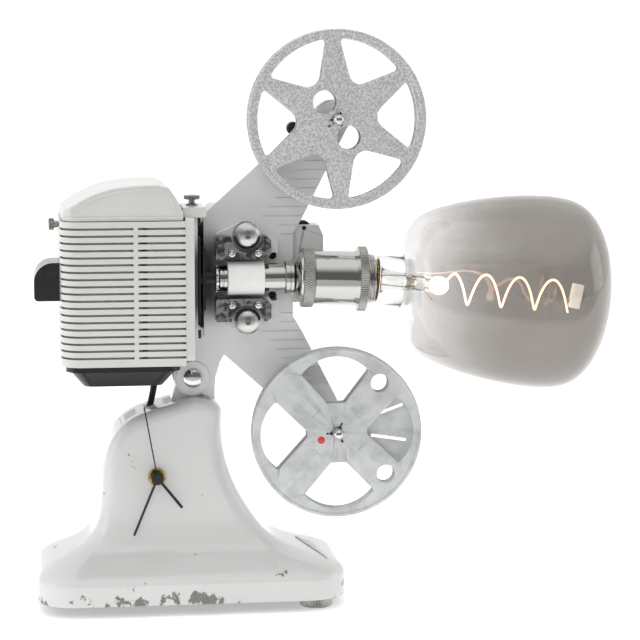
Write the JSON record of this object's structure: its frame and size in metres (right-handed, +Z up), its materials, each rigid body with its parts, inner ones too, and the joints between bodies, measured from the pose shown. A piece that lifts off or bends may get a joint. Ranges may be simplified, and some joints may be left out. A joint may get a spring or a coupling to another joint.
{
  "type": "film projector converted to a table lamp",
  "caption": "Cine film projector on a flared enamelled pedestal with a clock, reels on a K-shaped plate, a ribbed lamp housing and a large globe lamp in place of the lens.",
  "frame": {"origin": "bottom centre of the whole object, on the surface it stands on", "axes": "+Z up, +X from the lamp housing towards the lamp that points out of the lens place, +Y away from the reels and clock face"},
  "size_m": [0.414, 0.1675, 0.4134],
  "materials": {
    "white_enamel": "gloss stoved enamel on cast iron, chipped along the foot",
    "grey_paint": "satin light grey paint",
    "hammered_grey": "hammered grey paint on pressed sheet",
    "housing_paint": "satin off-white paint on a ribbed casting",
    "bare_aluminium": "satin pressed sheet",
    "polished_chrome": "polished plate",
    "knurled_steel": "knurled and plated",
    "plain_steel": "turned or pressed",
    "black_steel": "black oxide or black paint",
    "black_gloss": "gloss black lacquer",
    "black_plastic": "moulded",
    "brass": "turned",
    "white_sleeve": "plain white tube",
    "white_ceramic": "glazed insulator",
    "clear_glass": "clear by the neck, smoky silver towards the crown",
    "stem_glass": "clear stem glass",
    "glowing_wire": "glowing filament coil",
    "rubber": "moulded",
    "lead_cover": "black twin flex",
    "battery_wrap": "plain wrapper"
  },
  "bodies": {
    "base": {"base_casting": "white_enamel", "column_cap": "white_enamel", "bottom_plate": "black_steel", "bottom_screws": "plain_steel", "rubber_feet": "rubber", "badge_plate": "bare_aluminium", "mains_grommet": "rubber", "clock_movement": "black_plastic", "clock_battery": "battery_wrap", "clock_nut": "brass"},
    "levelling_screw": {"levelling_foot": "knurled_steel"},
    "hour": {"hour_hand": "black_steel"},
    "minute": {"minute_hand": "black_steel"},
    "second": {"second_hand": "black_steel"},
    "time_wheel": {"time_setting_wheel": "black_plastic"},
    "head": {"mechanism_plate": "grey_paint", "mechanism_case": "grey_paint", "tilt_pin": "polished_chrome", "shoe_bases": "grey_paint", "film_shoes": "polished_chrome", "shoe_screws": "plain_steel", "aperture_plate": "black_steel", "pressure_plate": "plain_steel", "lamp_housing": "housing_paint", "housing_tray": "black_gloss", "gate_frame": "housing_paint", "rear_hood": "black_gloss", "case_screws": "black_steel", "lens_mount": "grey_paint", "threaded_pipe": "plain_steel", "toothed_washer": "polished_chrome", "pipe_bushes": "polished_chrome", "insulating_sleeve": "white_sleeve", "socket_cap": "polished_chrome", "socket_rings": "knurled_steel", "socket_shell": "polished_chrome", "socket_insert": "white_ceramic", "head_lead": "lead_cover"},
    "bulb": {"bulb_glass": "clear_glass", "bulb_cap": "brass", "bulb_stem": "stem_glass", "filament": "glowing_wire"},
    "main_gear": {"main_gear": "brass"},
    "upper_sprocket": {"upper_sprocket": "polished_chrome", "upper_sprocket_gear": "brass"},
    "lower_sprocket": {"lower_sprocket": "polished_chrome", "lower_sprocket_gear": "brass"},
    "upper_reel": {"upper_reel_front": "hammered_grey", "upper_reel_back": "hammered_grey", "upper_reel_core": "hammered_grey", "upper_spindle": "polished_chrome"},
    "lower_reel": {"lower_reel_front": "bare_aluminium", "lower_reel_back": "bare_aluminium", "lower_reel_core": "bare_aluminium", "lower_spindle": "polished_chrome"},
    "guide_roller": {"guide_roller": "black_plastic"},
    "lid": {"housing_lid": "housing_paint"},
    "lid_thumbscrew": {"lid_thumbscrew": "knurled_steel"},
    "side_thumbscrew": {"side_thumbscrew": "knurled_steel"},
    "focus_wheel": {"focus_wheel": "black_plastic"}
  },
  "joints": [
    {"name": "head_tilt", "type": "hinge", "parent": "base", "child": "head", "pos_m": [-0.09306, 0.01876, 0.1635], "axis": [0, -1, 0], "range_deg": [0, 12], "deforming": ["head_lead"]},
    {"name": "levelling", "type": "slide", "parent": "base", "child": "levelling_screw", "axis": [0, 0, 1], "range_m": [-0.006, 0]},
    {"name": "minute_turn", "type": "hinge", "parent": "base", "child": "minute", "pos_m": [-0.12066, 0.01876, 0.095], "axis": [0, 1, 0], "continuous": true},
    {"name": "hour_turn", "type": "hinge", "parent": "base", "child": "hour", "pos_m": [-0.12066, 0.01876, 0.095], "axis": [0, 1, 0], "continuous": true},
    {"name": "second_turn", "type": "hinge", "parent": "base", "child": "second", "pos_m": [-0.12066, 0.01876, 0.095], "axis": [0, 1, 0], "continuous": true},
    {"name": "time_setting", "type": "hinge", "parent": "base", "child": "time_wheel", "pos_m": [-0.10866, 0.01876, 0.104], "axis": [0, 1, 0], "continuous": true},
    {"name": "bulb_turn", "type": "hinge", "parent": "head", "child": "bulb", "pos_m": [0.02711, -0.01424, 0.23587], "axis": [0.9962, 0, -0.0872], "continuous": true},
    {"name": "main_turn", "type": "hinge", "parent": "head", "child": "main_gear", "pos_m": [-0.05577, 0.01876, 0.2376], "axis": [0, 1, 0], "continuous": true},
    {"name": "upper_sprocket_turn", "type": "hinge", "parent": "head", "child": "upper_sprocket", "pos_m": [-0.05577, 0.01876, 0.2682], "axis": [0, 1, 0], "continuous": true},
    {"name": "lower_sprocket_turn", "type": "hinge", "parent": "head", "child": "lower_sprocket", "pos_m": [-0.05577, 0.01876, 0.207], "axis": [0, 1, 0], "continuous": true},
    {"name": "upper_reel_turn", "type": "hinge", "parent": "head", "child": "upper_reel", "pos_m": [0.00864, -0.01424, 0.3499], "axis": [0, 1, 0], "continuous": true},
    {"name": "lower_reel_turn", "type": "hinge", "parent": "head", "child": "lower_reel", "pos_m": [0.00864, -0.01424, 0.1253], "axis": [0, 1, 0], "continuous": true},
    {"name": "guide_roller_turn", "type": "hinge", "parent": "head", "child": "guide_roller", "pos_m": [-0.02087, -0.01424, 0.343], "axis": [0, 1, 0], "continuous": true},
    {"name": "lid_lift", "type": "slide", "parent": "head", "child": "lid", "axis": [0, 0, 1], "range_m": [0, 0.04]},
    {"name": "lid_screw_turn", "type": "hinge", "parent": "head", "child": "lid_thumbscrew", "pos_m": [-0.09506, -0.02124, 0.2913], "axis": [0, 0, 1], "continuous": true},
    {"name": "side_screw_turn", "type": "hinge", "parent": "head", "child": "side_thumbscrew", "pos_m": [-0.19107, 0.00076, 0.2763], "axis": [-1, 0, 0], "continuous": true},
    {"name": "focus_turn", "type": "hinge", "parent": "head", "child": "focus_wheel", "pos_m": [-0.01157, 0.01876, 0.2706], "axis": [0, 1, 0], "continuous": true}
  ],
  "couplings": [
    {"joint": "hour_turn", "follows": "minute_turn", "ratio": 0.083333},
    {"joint": "time_setting", "follows": "minute_turn", "ratio": -1},
    {"joint": "upper_sprocket_turn", "follows": "main_turn", "ratio": -1},
    {"joint": "lower_sprocket_turn", "follows": "main_turn", "ratio": -1}
  ]
}
